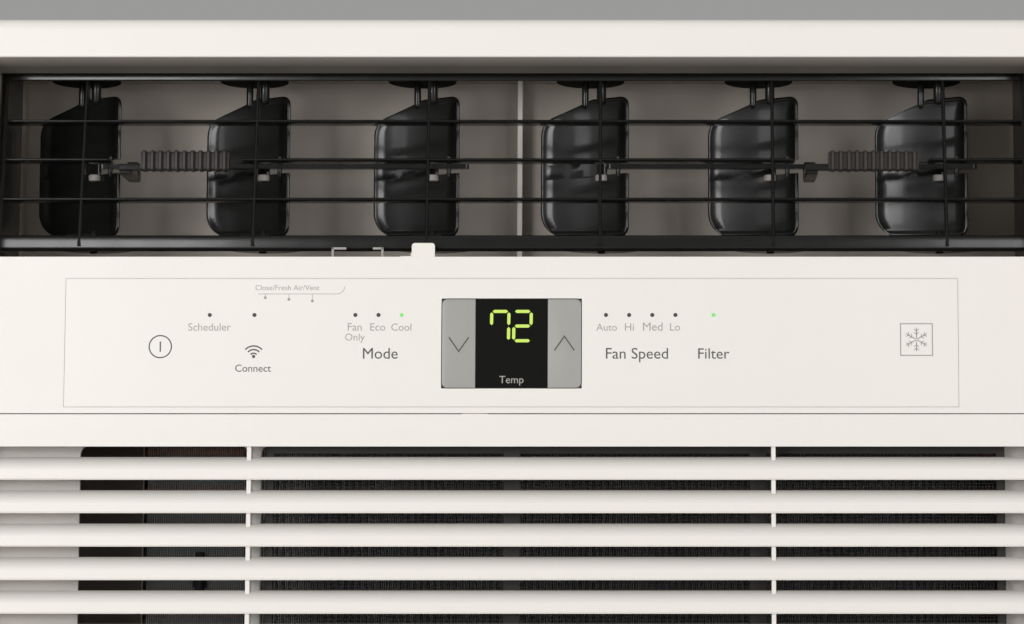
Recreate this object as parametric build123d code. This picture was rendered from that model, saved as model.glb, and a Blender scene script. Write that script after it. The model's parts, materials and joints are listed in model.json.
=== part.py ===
from build123d import *
import math
import os

# A room air conditioner that stands in a sash window. Millimetres.
# +Z is up, the front faces -Y, +X is to the right seen from the front.
# The origin is the centre of the footprint, on the surface under the base pan.

# Overall size
WIDTH = 673.0
DEPTH = 649.0
HEIGHT = 473.0
FRONT = -DEPTH / 2
BACK = DEPTH / 2
SIDE = WIDTH / 2

# Front panel
WALL = 3.0
PANEL_BACK = -232.0
PANEL_FOOT = 8.0
SEAM = 231.0
OUTLET_X = 318.0
OUTLET_LOW = 326.0
OUTLET_TOP = 449.0
INNER_WALL = -298.0
INNER_WALL_T = 2.5
WINDOW_LOW = 28.0
WINDOW_TOP = 214.0
WINDOWS = ((-264.0, -161.5), (-153.5, 300.0))

# Control band
OVERLAY_X = 270.0
OVERLAY_LOW = 234.5
OVERLAY_TOP = 313.0
OVERLAY_T = 0.5
BEZEL_X = 42.4
GLASS_X = 21.6
BEZEL_LOW = 246.0
BEZEL_TOP = 300.5
KEY_RADIUS = 8.0
KEY_TRAVEL = 0.5
KEY_PLACES = {
    "power_key": (-212.0, 271.0),
    "connect_key": (-155.0, 268.5),
    "mode_key": (-79.0, 270.0),
    "fan_speed_key": (76.0, 267.0),
    "filter_key": (122.0, 267.0),
}
LIGHT_Z = 290.5
LIGHT_X = (-182.5, -155.5, -94.5, -80.5, -66.5, 57.0, 71.0, 85.0, 99.0, 122.0)
BOARD_FRONT = -313.0

# Intake grille
GRILLE_FOOT = 10.0
GRILLE_TOP = SEAM - 0.6
GRILLE_BACK = -300.5
GRILLE_HINGE_Y = -312.0
GRILLE_HINGE_Z = 18.5
SLOT_TOP = 211.0
SLOT_PITCH = 20.05
SLOT_HEIGHT = 6.1
SLOT_COUNT = 10
DIVIDER_X = 158.0
BAR_RADIUS = 9.0
BAR_TURN = 68
LUG_X = 303.0

# Air outlet: tilting louvre frame, swinging vanes, link bars and grips
LEAN = math.radians(10.0)
TILT_Y = -270.0
TILT_Z = 390.0
FRAME_X = 315.0
STRAP_LOW = 446.8
FRAME_TOP = 449.0
BOTTOM_RAIL_LOW = 331.4
BOTTOM_RAIL_TOP = 340.3
BOTTOM_RAIL_Y = -311.0
BOSS_LOW = 339.0
BOSS_TOP = 342.0
BLADES = (413.7, 389.0, 363.9)
BLADE_DEPTH = 17.0
BLADE_T = 2.0
VANE_PITCH = 106.0
VANE_Y = -261.0
VANE_ANGLE = 62.0
VANE_FRONT = 19.5
VANE_REAR = 43.6
VANE_LOW = 349.0
VANE_TOP = 434.4
VANE_T = 2.2
PIN_R = 2.5
RUNNING = 0.08
CRANK = 12.0
LINK_LOW = 388.4
LINK_TOP = 391.2
LINK_HALF = 2.2
GRIP_SPANS = {"left": (-228.5, -174.5), "right": (193.0, 248.0)}
GRIP_TRAVEL = 20.0
GRIP_LOW = 380.9
GRIP_TOP = 393.3
CEILING = 453.5

# Inside
SHEET = 1.2
CABINET_X = 331.0
CABINET_TOP = 458.5
CABINET_FRONT = -242.0
PAN_X = CABINET_X - SHEET - 0.2
PAN_FRONT = -292.0
PAN_BACK = 317.0
PAN_T = 1.5
PAN_RIM = 30.0
AXLE_Z = 185.0
AXLE_R = 6.3
WHEEL_R = 105.0
FAN_R = 152.0
BULKHEAD_Y = -62.0
DUCT_X = 319.0
DUCT_T = 2.0
DUCT_BACK = -205.0
SCROLL_FRONT = -178.0
VENT_HINGE_Y = -57.2
VENT_HINGE_Z = 390.5
VENT_PIN_R = 2.5
RAIL_SCREW_Y = -187.0
SASH_HOLE_X = 225.0
SASH_HOLE_Z = 466.0
TUBE_R = 4.75
TUBE_PITCH = 25.4
COMPRESSOR = (215.0, 60.0)


def block(x0, x1, y0, y1, z0, z1):
    """A box between two corners."""
    middle = ((x0 + x1) / 2, (y0 + y1) / 2, (z0 + z1) / 2)
    return Pos(*middle) * Box(x1 - x0, y1 - y0, z1 - z0)


def rod(radius, start, end):
    """A round bar between two points."""
    along = Vector(*end) - Vector(*start)
    return extrude(Plane(origin=start, z_dir=along) * Circle(radius), along.length)


def side_profile(points, x0, x1):
    """An outline of (y, z) points carried from x0 to x1."""
    face = Plane(origin=(x0, 0, 0), x_dir=(0, 1, 0), z_dir=(1, 0, 0)) * Polygon(*points, align=None)
    return extrude(face, x1 - x0)


def save(shape, node):
    export_step(shape, f"parts/{node}.step")


def group(shapes):
    """Separate solids in one node."""
    return Compound([solid for shape in shapes for solid in shape.solids()])


def bend_pipe(points, bends, radius):
    """A pipe of straight runs and tangent arcs."""
    path = FilletPolyline(*points, radius=bends)
    start = Plane(origin=path @ 0, z_dir=path % 0)
    return sweep(start * Circle(radius), path=path)


def louvre_front(z):
    """Where the leaning front line of the louvre frame lies at height z."""
    return BOTTOM_RAIL_Y + (z - BOTTOM_RAIL_TOP) * math.tan(LEAN)


def vane_axes(bank):
    """The three vane axes of a bank, from left to right."""
    first = -2.5 * VANE_PITCH if bank == "left" else 0.5 * VANE_PITCH
    return [first + VANE_PITCH * i for i in range(3)]


def on_vane(x, reach):
    """The point of a vane's plane at a distance in front of its axis."""
    turn = math.radians(VANE_ANGLE)
    return (x + reach * math.sin(turn), VANE_Y - reach * math.cos(turn))


# Front of the machine


def front_panel():
    upper = block(-SIDE, SIDE, FRONT, PANEL_BACK, SEAM, HEIGHT)
    rims = upper.edges().filter_by(Axis.Z).group_by(Axis.Y)[0]
    rims = rims + upper.faces().sort_by(Axis.Z)[-1].edges().filter_by(Axis.X).group_by(Axis.Y)[0]
    upper = fillet(rims, 7.0)
    upper -= block(-SIDE + WALL, SIDE - WALL, FRONT + WALL, PANEL_BACK, SEAM + WALL, HEIGHT - WALL)
    upper -= block(-SIDE + WALL, SIDE - WALL, INNER_WALL + INNER_WALL_T, PANEL_BACK, SEAM, SEAM + WALL)
    lower = block(-SIDE, SIDE, INNER_WALL, PANEL_BACK, PANEL_FOOT, SEAM)
    lower -= block(-SIDE + WALL, SIDE - WALL, INNER_WALL + INNER_WALL_T, PANEL_BACK, 0, SEAM + WALL)
    panel = upper + lower
    panel += block(-SIDE + 1, SIDE - 1, PANEL_BACK - 2, PANEL_BACK, CABINET_TOP + 0.3, HEIGHT - 1)
    outlet = Rectangle(2 * OUTLET_X, OUTLET_TOP - OUTLET_LOW)
    outlet = fillet(outlet.vertices(), 5.0)
    face = Plane(origin=(0, FRONT - 1, (OUTLET_TOP + OUTLET_LOW) / 2), x_dir=(1, 0, 0), z_dir=(0, 1, 0))
    panel -= extrude(face * outlet, WALL + 2)
    lip = ((FRONT + 1, OUTLET_TOP), (FRONT + 20, 442.6), (FRONT + 20, 444.6), (FRONT + 2.5, OUTLET_TOP + 3))
    panel += side_profile(lip, -OUTLET_X, OUTLET_X)
    for left, right in WINDOWS:
        window = fillet(Rectangle(right - left, WINDOW_TOP - WINDOW_LOW).vertices(), 7.0)
        middle = ((left + right) / 2, INNER_WALL - 1, (WINDOW_TOP + WINDOW_LOW) / 2)
        panel -= extrude(Plane(origin=middle, x_dir=(1, 0, 0), z_dir=(0, 1, 0)) * window, INNER_WALL_T + 2)
    pocket = block(-OVERLAY_X, OVERLAY_X, FRONT - 1, FRONT + OVERLAY_T, OVERLAY_LOW, OVERLAY_TOP)
    panel -= pocket
    panel -= block(-BEZEL_X - 0.4, BEZEL_X + 0.4, FRONT - 1, FRONT + WALL + 1, BEZEL_LOW - 0.4, BEZEL_TOP + 0.4)
    for x, z in KEY_PLACES.values():
        panel -= rod(KEY_RADIUS + 0.4, (x, FRONT - 1, z), (x, FRONT + WALL + 1, z))
    for x in LIGHT_X:
        panel -= rod(1.3, (x, FRONT - 1, LIGHT_Z), (x, FRONT + WALL + 1, LIGHT_Z))
    panel += block(-128, -36, FRONT + WALL, FRONT + WALL + 4, 292.1, 293.7)
    for side in (-1, 1):
        x = side * LUG_X
        lug = block(x - 3, x + 3, GRILLE_HINGE_Y, INNER_WALL, GRILLE_HINGE_Z - 5, GRILLE_HINGE_Z + 5)
        lug += rod(5, (x - 3, GRILLE_HINGE_Y, GRILLE_HINGE_Z), (x + 3, GRILLE_HINGE_Y, GRILLE_HINGE_Z))
        lug -= rod(3 + RUNNING, (x - 4, GRILLE_HINGE_Y, GRILLE_HINGE_Z), (x + 4, GRILLE_HINGE_Y, GRILLE_HINGE_Z))
        panel += lug
    panel -= rod(8.1, (SIDE - WALL - 1, -265, 45), (SIDE + 1, -265, 45))
    panel -= rod(11.1, (SIDE - 1.5, -265, 45), (SIDE + 1, -265, 45))
    return panel


def grille_bar(top):
    """One bar: a round upper face, an upright lower face and a lip that turns back."""
    foot = top - (SLOT_PITCH - SLOT_HEIGHT)
    start = math.sin(math.radians(BAR_TURN))
    points = []
    for turn in range(BAR_TURN, 0, -8):
        angle = math.radians(turn)
        drop = BAR_RADIUS * (start - math.sin(angle))
        points.append((FRONT + BAR_RADIUS * (1 - math.cos(angle)), top - drop))
    points += [
        (FRONT, foot + 1.0),
        (FRONT + 0.6, foot),
        (FRONT + 9.0, foot + 1.5),
        (FRONT + 9.0, foot + 3.5),
        (FRONT + 4.0, foot + 5.0),
        (FRONT + 8.0, top),
    ]
    return side_profile(points, -SIDE + WALL, SIDE - WALL)


def intake_grille():
    shell = block(-SIDE, SIDE, FRONT, GRILLE_BACK, GRILLE_FOOT, GRILLE_TOP)
    corners = shell.edges().filter_by(Axis.Z).group_by(Axis.Y)[0]
    foot = shell.faces().sort_by(Axis.Z)[0].edges().filter_by(Axis.X).group_by(Axis.Y)[0]
    shell = fillet(corners + foot, 6.0)
    low = GRILLE_FOOT + 2.5
    shell -= block(-SIDE + WALL, SIDE - WALL, FRONT + WALL, GRILLE_BACK, low, GRILLE_TOP - WALL)
    shell -= block(-SIDE, SIDE, -302.0, GRILLE_BACK, GRILLE_FOOT, low)
    last = SLOT_TOP - SLOT_PITCH * (SLOT_COUNT - 1) - SLOT_HEIGHT
    shell -= block(-SIDE + 9, SIDE - 9, FRONT - 1, FRONT + WALL + 1, last, SLOT_TOP)
    for i in range(SLOT_COUNT - 1):
        shell += grille_bar(SLOT_TOP - SLOT_HEIGHT - SLOT_PITCH * i)
    for x in (-DIVIDER_X, DIVIDER_X):
        shell += block(x - 1.25, x + 1.25, FRONT + 2.5, FRONT + 12, last - 4, SLOT_TOP + 4)
    for side in (-1, 1):
        middle = side * LUG_X
        shell -= block(middle - 3.7, middle + 3.7, -318.5, GRILLE_BACK, GRILLE_FOOT - 1, low + 0.5)
        inner = side * (LUG_X - 5)
        shell += block(inner - 1.5, inner + 1.5, -317.5, -306.5, low - 1, 24)
        tip = side * (LUG_X + 4)
        shell += rod(3, (inner, GRILLE_HINGE_Y, GRILLE_HINGE_Z), (tip, GRILLE_HINGE_Y, GRILLE_HINGE_Z))
    return shell


def grille_latch():
    """A sprung tongue at the top of the grille door."""
    hook = block(-30, -14, -316, -301, GRILLE_TOP - 8, GRILLE_TOP - WALL)
    hook += block(-30, -14, -303.5, -301, 216, GRILLE_TOP - 8)
    return hook


def filter_frame():
    """A flat rim with two cross members, clipped inside the grille door."""
    left, right, low, top = -150.0, 299.0, 30.0, 213.0
    rim = block(left, right, -306, -302, low, top)
    bays = 3
    step = (right - left) / bays
    for i in range(bays):
        rim -= block(left + step * i + 5, left + step * (i + 1) - 5, -307, -301, low + 5, top - 5)
    return rim


def filter_mesh():
    left, right, low, top = -150.0, 299.0, 30.0, 213.0
    step = (right - left) / 3
    panes = []
    for i in range(3):
        panes.append(block(left + step * i + 5, left + step * (i + 1) - 5, -304.3, -303.7, low + 5, top - 5))
    return group(panes)


# Controls


def control_overlay():
    sheet = block(-OVERLAY_X + 0.1, OVERLAY_X - 0.1, FRONT, FRONT + OVERLAY_T, OVERLAY_LOW + 0.1, OVERLAY_TOP - 0.1)
    return sheet - block(-BEZEL_X, BEZEL_X, FRONT - 1, FRONT + 1, BEZEL_LOW, BEZEL_TOP)


def display_window():
    glass = block(-GLASS_X, GLASS_X, FRONT + 0.2, FRONT + 1.8, BEZEL_LOW + 0.3, BEZEL_TOP - 0.3)
    return glass


def temperature_key(side):
    """A rocker half beside the window, with a stem towards its switch."""
    x0 = GLASS_X + 0.25
    x1 = BEZEL_X - 0.2
    cap = block(x0, x1, FRONT + 0.05, FRONT + 2.2, BEZEL_LOW + 0.3, BEZEL_TOP - 0.3)
    cap = fillet(cap.edges().filter_by(Axis.Y).group_by(Axis.X)[-1], 3.0)
    middle = (x0 + x1) / 2
    height = (BEZEL_LOW + BEZEL_TOP) / 2
    cap += rod(2.0, (middle, FRONT + 2.0, height), (middle, BOARD_FRONT - 2.0, height))
    return cap if side > 0 else mirror(cap, Plane.YZ)


def soft_key(x, z):
    """A plunger behind the overlay sheet."""
    pad = rod(KEY_RADIUS, (x, FRONT + OVERLAY_T, z), (x, FRONT + OVERLAY_T + 1.6, z))
    pad += rod(2.0, (x, FRONT + 2.0, z), (x, BOARD_FRONT - 2.0, z))
    return pad


def key_switches():
    """Height of each dome switch above the board leaves the key's travel free."""
    places = list(KEY_PLACES.values())
    middle = (GLASS_X + BEZEL_X) / 2 + 0.02
    height = (BEZEL_LOW + BEZEL_TOP) / 2
    places += [(-middle, height), (middle, height)]
    domes = [rod(3.0, (x, BOARD_FRONT - 1.4, z), (x, BOARD_FRONT, z)) for x, z in places]
    return domes


def control_board():
    board = block(-230, 150, BOARD_FRONT, BOARD_FRONT + 1.6, 242, 306)
    for dome in key_switches():
        board += dome
    return board


def digit_display():
    return block(-20, 20, FRONT + 2.0, BOARD_FRONT - 0.1, 262, 299)


def status_light_pipes():
    pipes = [rod(1.1, (x, FRONT + OVERLAY_T, LIGHT_Z), (x, BOARD_FRONT, LIGHT_Z)) for x in LIGHT_X]
    return group(pipes)


# Air outlet


def outlet_duct():
    """Sides, ceiling, back wall and a floor that falls towards the blower."""
    low_front, low_back = 319.0, 246.0
    start = -318.0
    outline = ((start, low_front), (DUCT_BACK, low_back), (DUCT_BACK, CEILING), (start, CEILING))
    air = side_profile(outline, -DUCT_X, DUCT_X)
    outer_line = (
        (start, low_front - DUCT_T),
        (DUCT_BACK + DUCT_T, low_back - DUCT_T),
        (DUCT_BACK + DUCT_T, CEILING + DUCT_T),
        (start, CEILING + DUCT_T),
    )
    duct = side_profile(outer_line, -DUCT_X - DUCT_T, DUCT_X + DUCT_T) - air
    collar = block(-118, 118, DUCT_BACK, SCROLL_FRONT - 0.3, 250, 332)
    mouth = block(-115, 115, DUCT_BACK - 1, SCROLL_FRONT, 253, 329)
    duct = duct + collar - mouth
    # A blank-off plate keeps air from passing beside the indoor coil.
    duct += block(-300, -236, -230, -228, 26, 226) + block(-300, -280, -230, -228, 225, 261)
    for side in (-1, 1):
        ends = ((side * (DUCT_X - 1), TILT_Y, TILT_Z), (side * (DUCT_X + DUCT_T + 1), TILT_Y, TILT_Z))
        duct -= rod(4.0 + RUNNING, *ends)
    return duct


def centre_post():
    """The post that braces the outlet behind the vanes."""
    post = block(-1.5, 1.5, -219, -207, 255.3, CEILING - 0.1)
    return post


def louvre_frame():
    frame = block(-FRAME_X, FRAME_X, -293.5, VANE_Y + 8, STRAP_LOW, FRAME_TOP)
    frame += block(-FRAME_X, FRAME_X, -294.0, -292.0, 439.5, STRAP_LOW + 0.5)
    frame += block(-FRAME_X, FRAME_X, BOTTOM_RAIL_Y, BOTTOM_RAIL_Y + 6, BOTTOM_RAIL_LOW, BOTTOM_RAIL_TOP)
    for z in BLADES:
        front = louvre_front(z)
        frame += block(-FRAME_X, FRAME_X, front, front + BLADE_DEPTH, z - BLADE_T / 2, z + BLADE_T / 2)
    for left, right in GRIP_SPANS.values():
        front = louvre_front(BLADES[1])
        frame -= block(left - GRIP_TRAVEL, right + 7, front - 1, front + BLADE_DEPTH + 1, 384, 394)
    low, high = 334.0, STRAP_LOW + 0.5
    rib = ((louvre_front(low), low), (louvre_front(low) + 8, low), (louvre_front(high) + 8, high), (louvre_front(high), high))
    for x in vane_axes("left") + vane_axes("right"):
        frame += side_profile(rib, x - 1.0, x + 1.0)
        frame += rod(27, (x, VANE_Y, BOSS_LOW), (x, VANE_Y, BOSS_TOP))
        frame += block(x - 9, x + 9, BOTTOM_RAIL_Y + 3, VANE_Y, BOSS_LOW, BOSS_TOP)
        frame -= rod(PIN_R + RUNNING, (x, VANE_Y, BOSS_LOW - 5), (x, VANE_Y, FRAME_TOP + 5))
    cheek = ((-311.0, BOTTOM_RAIL_LOW), (-256.0, BOTTOM_RAIL_LOW), (-253.0, FRAME_TOP), (-293.5, FRAME_TOP))
    for side in (-1, 1):
        x0, x1 = sorted((side * (FRAME_X - 2), side * FRAME_X))
        frame += side_profile(cheek, x0, x1)
        frame += rod(4.0, (side * (FRAME_X - 1), TILT_Y, TILT_Z), (side * (DUCT_X + DUCT_T), TILT_Y, TILT_Z))
    return frame


def vane(x):
    """A paddle with a disc and two posts on top, slit where the link bar passes."""
    with BuildSketch() as sketch:
        with BuildLine():
            Polyline(
                (VANE_FRONT, VANE_LOW),
                (VANE_FRONT, VANE_TOP),
                (-8.0, VANE_TOP),
                (-14.0, 432.0),
                (-VANE_REAR, 422.0),
                (-VANE_REAR, VANE_LOW),
                close=True,
            )
        make_face()
        fillet(sketch.vertices().group_by(Axis.X)[-1], 6.0)
        fillet(sketch.vertices().group_by(Axis.X)[0], 12.0)
    ahead = (on_vane(0, 1)[0], on_vane(0, 1)[1] - VANE_Y, 0)
    across = Vector(0, 0, 1).cross(Vector(*ahead)) * -1
    plane = Plane(origin=(x, VANE_Y, 0), x_dir=ahead, z_dir=across)
    plate = extrude(plane * sketch.sketch, VANE_T / 2, both=True)
    slit = plane * Pos(12.2, 389.8, 0) * Box(18.0, 8.8, 8.0)
    plate -= slit
    crank = on_vane(x, CRANK)
    plate += rod(1.5, (*crank, 383.5), (*crank, 396.0))
    rear_post = on_vane(x, -12.4)
    disc = on_vane(x, -8.0)
    plate += rod(21.5, (*disc, 444.8), (*disc, 446.3))
    plate += rod(2.0, (*rear_post, 429.5), (*rear_post, 445.3))
    plate += rod(3.0, (x, VANE_Y, 431.0), (x, VANE_Y, 446.3))
    plate += rod(PIN_R, (x, VANE_Y, 446.0), (x, VANE_Y, 450.5))
    plate += rod(3.0, (x, VANE_Y, BOSS_TOP + 0.6), (x, VANE_Y, 356.0))
    plate += rod(PIN_R, (x, VANE_Y, 335.7), (x, VANE_Y, BOSS_TOP + 1.0))
    return plate


def link_bar(bank):
    """The flat bar that turns the three vanes of a bank together."""
    axes = vane_axes(bank)
    y = on_vane(0, CRANK)[1]
    bar = block(axes[0] + 6, axes[2] + 21, y - LINK_HALF, y + LINK_HALF, LINK_LOW, LINK_TOP)
    for x in (axes[0] + 6, axes[2] + 21):
        bar += rod(LINK_HALF, (x, y, LINK_LOW), (x, y, LINK_TOP))
    for x in axes:
        crank = on_vane(x, CRANK)
        bar -= rod(1.5 + RUNNING, (*crank, LINK_LOW - 1), (*crank, LINK_TOP + 1))
    return bar


def grip(bank):
    """The ribbed slide that a finger pushes, on a stem from the link bar."""
    left, right = GRIP_SPANS[bank]
    body = block(left, right, -310, -303, GRIP_LOW, GRIP_TOP)
    ribs = 11
    step = (right - left) / ribs
    for i in range(ribs):
        body += block(left + step * i + 1.2, left + step * (i + 1) - 1.2, -312.5, -310, GRIP_LOW, GRIP_TOP)
    bar_front = on_vane(0, CRANK)[1] - LINK_HALF
    body += block(left - 14, left + 2, -309, -304, 382, GRIP_TOP - 3)
    body += block(left - 14, left - 6, -306, -276, 379.5, 387.2)
    body += block(left - 14, left - 6, -278, bar_front, 379.5, LINK_TOP)
    return body


# Fresh air vent


def vent_lever():
    tab = block(-61, -47, -321.2, -319.0, 300, 334.8)
    tab = fillet(tab.edges().filter_by(Axis.Y).group_by(Axis.Z)[-1], 2.0)
    tab += block(-66, -42, -321.2, -317.6, 293.8, 304.0)
    return tab


def vent_door():
    """A flap over the fresh air hole, hung from its top edge."""
    flap = block(-236, -164, -58.2, -56.2, 338, 391)
    flap += rod(VENT_PIN_R, (-244, VENT_HINGE_Y, VENT_HINGE_Z), (-156, VENT_HINGE_Y, VENT_HINGE_Z))
    return flap


def vent_cable():
    """The sheath of the push wire from the lever to the flap."""
    points = (
        (-135, -308, 299),
        (-175, -308, 299),
        (-240, -290, 250),
        (-262, -215, 236),
        (-262, -71, 248),
        (-262, -71, 340),
    )
    return bend_pipe(points, [15, 25, 25, 15], 2.0)


def bulkhead():
    """The wall between the room side and the outdoor side."""
    half = PAN_X - PAN_T - 0.3
    wall = block(-half, half, BULKHEAD_Y, BULKHEAD_Y + 2, PAN_T + 0.1, CABINET_TOP - SHEET - 0.3)
    wall = fillet(wall.edges().filter_by(Axis.Y).group_by(Axis.Z)[-1], 6.0)
    wall -= rod(28, (0, BULKHEAD_Y - 1, AXLE_Z), (0, BULKHEAD_Y + 3, AXLE_Z))
    wall -= block(-230, -170, BULKHEAD_Y - 1, BULKHEAD_Y + 3, 343, 383)
    wall -= rod(8, (305, BULKHEAD_Y - 1, 214.8), (305, BULKHEAD_Y + 3, 214.8))
    wall -= rod(4, (270, BULKHEAD_Y - 1, 60), (270, BULKHEAD_Y + 3, 60))
    for x in (-242.5, -157.5):
        ear = block(x - 2, x + 2, BULKHEAD_Y + 2, -53, 386, 395)
        wall += ear - rod(VENT_PIN_R + RUNNING, (x - 3, VENT_HINGE_Y, VENT_HINGE_Z), (x + 3, VENT_HINGE_Y, VENT_HINGE_Z))
    return wall


# Cabinet


def side_slots(side):
    """Air slots of one cabinet side, in three columns."""
    x0, x1 = sorted((side * (CABINET_X - 3), side * (CABINET_X + 1)))
    slots = []
    for column in range(3):
        y = 40 + 62 * column
        for row in range(16):
            z = 120 + 18 * row
            slots.append(block(x0, x1, y, y + 50, z, z + 6))
    return slots


def outer_cabinet():
    """The sheet that wraps the top and both sides."""
    shell = block(-CABINET_X, CABINET_X, CABINET_FRONT, 318.5, 3, CABINET_TOP)
    top_edges = shell.faces().sort_by(Axis.Z)[-1].edges().filter_by(Axis.Y)
    shell = fillet(top_edges, 6.0)
    inside = block(-CABINET_X + SHEET, CABINET_X - SHEET, CABINET_FRONT, 318.5, 3, CABINET_TOP - SHEET)
    inside = fillet(inside.faces().sort_by(Axis.Z)[-1].edges().filter_by(Axis.Y), 6.0 - SHEET)
    shell -= inside
    for side in (-1, 1):
        for slot in side_slots(side):
            shell -= slot
        for y in (-150, 60, 260):
            ends = ((side * (CABINET_X - 4), y, 18), (side * (CABINET_X + 2), y, 18))
            shell -= rod(2.3, *ends)
    for column in range(9):
        x = -240 + 60 * column
        for row in range(4):
            y = 60 + 30 * row
            shell -= block(x - 22, x + 22, y, y + 7, CABINET_TOP - 3, CABINET_TOP + 1)
    for x in (-260, 0, 260):
        shell -= rod(2.3, (x, RAIL_SCREW_Y, CABINET_TOP - 4), (x, RAIL_SCREW_Y, CABINET_TOP + 1))
    return shell


def base_pan():
    pan = block(-PAN_X, PAN_X, PAN_FRONT, PAN_BACK, 0, PAN_RIM)
    pan = fillet(pan.edges().filter_by(Axis.Z), 4.0)
    inside = block(-PAN_X + PAN_T, PAN_X - PAN_T, PAN_FRONT + PAN_T, PAN_BACK - PAN_T, PAN_T, PAN_RIM)
    pan -= inside
    for side in (-1, 1):
        for y in (-150, 60, 260):
            pan -= rod(2.3, (side * (PAN_X - 4), y, 18), (side * (PAN_X + 2), y, 18))
    return pan


def cabinet_screws():
    """Hex head screws along the sides and along the top rail."""
    screws = []
    for side in (-1, 1):
        for y in (-150, 60, 260):
            shank = rod(2.1, (side * (PAN_X - 6), y, 18), (side * (CABINET_X + 1), y, 18))
            plane = Plane(origin=(side * CABINET_X, y, 18), z_dir=(side, 0, 0))
            screws.append(shank + extrude(plane * RegularPolygon(4.2, 6), 3.5))
    for x in (-260, 0, 260):
        top = CABINET_TOP + PAN_T
        shank = rod(2.1, (x, RAIL_SCREW_Y, CABINET_TOP - 9), (x, RAIL_SCREW_Y, top + 1))
        screws.append(shank + extrude(Plane(origin=(x, RAIL_SCREW_Y, top)) * RegularPolygon(4.2, 6), 3.5))
    return group(screws)


def top_rail():
    """The angle that the raised sash closes against."""
    back = RAIL_SCREW_Y + 11
    foot = block(-300, 300, back - 20, back, CABINET_TOP, CABINET_TOP + PAN_T)
    wall = block(-300, 300, back - PAN_T, back, CABINET_TOP, HEIGHT - 1)
    rail = foot + wall
    for x in (-260, 0, 260):
        rail -= rod(2.3, (x, RAIL_SCREW_Y, CABINET_TOP - 1), (x, RAIL_SCREW_Y, CABINET_TOP + 3))
    for x in (-SASH_HOLE_X, SASH_HOLE_X):
        rail -= rod(2.5, (x, back - 4, SASH_HOLE_Z), (x, back + 1, SASH_HOLE_Z))
    return rail


def rear_guard():
    """A frame of upright bars over the outdoor coil."""
    guard = block(-CABINET_X + 2, CABINET_X - 2, 319.0, BACK, 32, CABINET_TOP)
    guard -= block(-CABINET_X + 16, CABINET_X - 16, 318, BACK + 1, 46, CABINET_TOP - 14)
    bars = 30
    step = (2 * CABINET_X - 32) / bars
    for i in range(1, bars):
        x = -CABINET_X + 16 + step * i
        guard += block(x - 1.25, x + 1.25, 319.5, 323.5, 40, CABINET_TOP - 10)
    for z in (145, 245, 345):
        guard += block(-CABINET_X + 10, CABINET_X - 10, 319.0, 320.5, z - 3, z + 3)
    return guard


def cord_gland():
    """The grommet where the supply lead leaves the front corner."""
    gland = rod(8, (SIDE - WALL - 4, -265, 45), (SIDE - 0.5, -265, 45))
    gland += rod(11, (SIDE - 1.5, -265, 45), (SIDE, -265, 45))
    gland += rod(10, (SIDE - WALL - 4, -265, 45), (SIDE - WALL - 0.2, -265, 45))
    return gland - rod(4.5, (SIDE - 12, -265, 45), (SIDE + 2, -265, 45))


# Refrigeration circuit


def coil_heights(low, count):
    return [low + TUBE_PITCH * i for i in range(count)]


def coil_fins(x0, x1, y0, y1, z0, z1, rows, heights):
    fins = block(x0, x1, y0, y1, z0, z1)
    for y in rows:
        for z in heights:
            fins -= rod(TUBE_R + 0.1, (x0 - 1, y, z), (x1 + 1, y, z))
    return fins


def coil_tubes(x0, x1, rows, heights):
    """Runs through the fins, joined in pairs by return bends."""
    pipes = []
    half = TUBE_PITCH / 2
    for y in rows:
        pipe = None
        for i, z in enumerate(heights):
            run = rod(TUBE_R, (x0, y, z), (x1, y, z))
            pipe = run if pipe is None else pipe + run
            if i + 1 < len(heights):
                x = x0 if i % 2 == 0 else x1
                ring = Pos(x, y, z + half) * Rot(90, 0, 0) * Torus(half, TUBE_R)
                keep = (x - 40, x) if i % 2 == 0 else (x, x + 40)
                pipe += ring & block(keep[0], keep[1], y - 10, y + 10, z - 30, z + 60)
        pipes.append(pipe)
    return group(pipes)


EVAPORATOR = (-234.0, 292.0, -226.0, -192.0, 24.0, 228.0)
EVAPORATOR_ROWS = (-218.0, -200.0)
CONDENSER = (-292.0, 292.0, 242.0, 286.0, 30.0, 436.0)
CONDENSER_ROWS = (253.0, 275.0)


def blower_housing():
    """The scroll round the blower wheel, open to the coil and up to the duct."""
    y0, y1 = SCROLL_FRONT, BULKHEAD_Y - 0.3
    wall = 2.5
    shell = rod(128, (0, y0, AXLE_Z), (0, y1, AXLE_Z)) + block(-128, 128, y0, y1, AXLE_Z, 335)
    inside = rod(128 - wall, (0, y0 + wall, AXLE_Z), (0, y1 - wall, AXLE_Z))
    inside += block(-128 + wall, 128 - wall, y0 + wall, y1 - wall, AXLE_Z, 335 - wall)
    shell -= inside
    shell -= rod(78, (0, y0 - 1, AXLE_Z), (0, y0 + wall + 1, AXLE_Z)) & block(-78, 78, y0 - 2, y0 + 4, 100, 240)
    shell -= block(-115, 115, y0 - 1, y0 + wall + 1, 253, 329)
    return shell - rod(28, (0, y1 - wall - 1, AXLE_Z), (0, y1 + 1, AXLE_Z))


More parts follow.
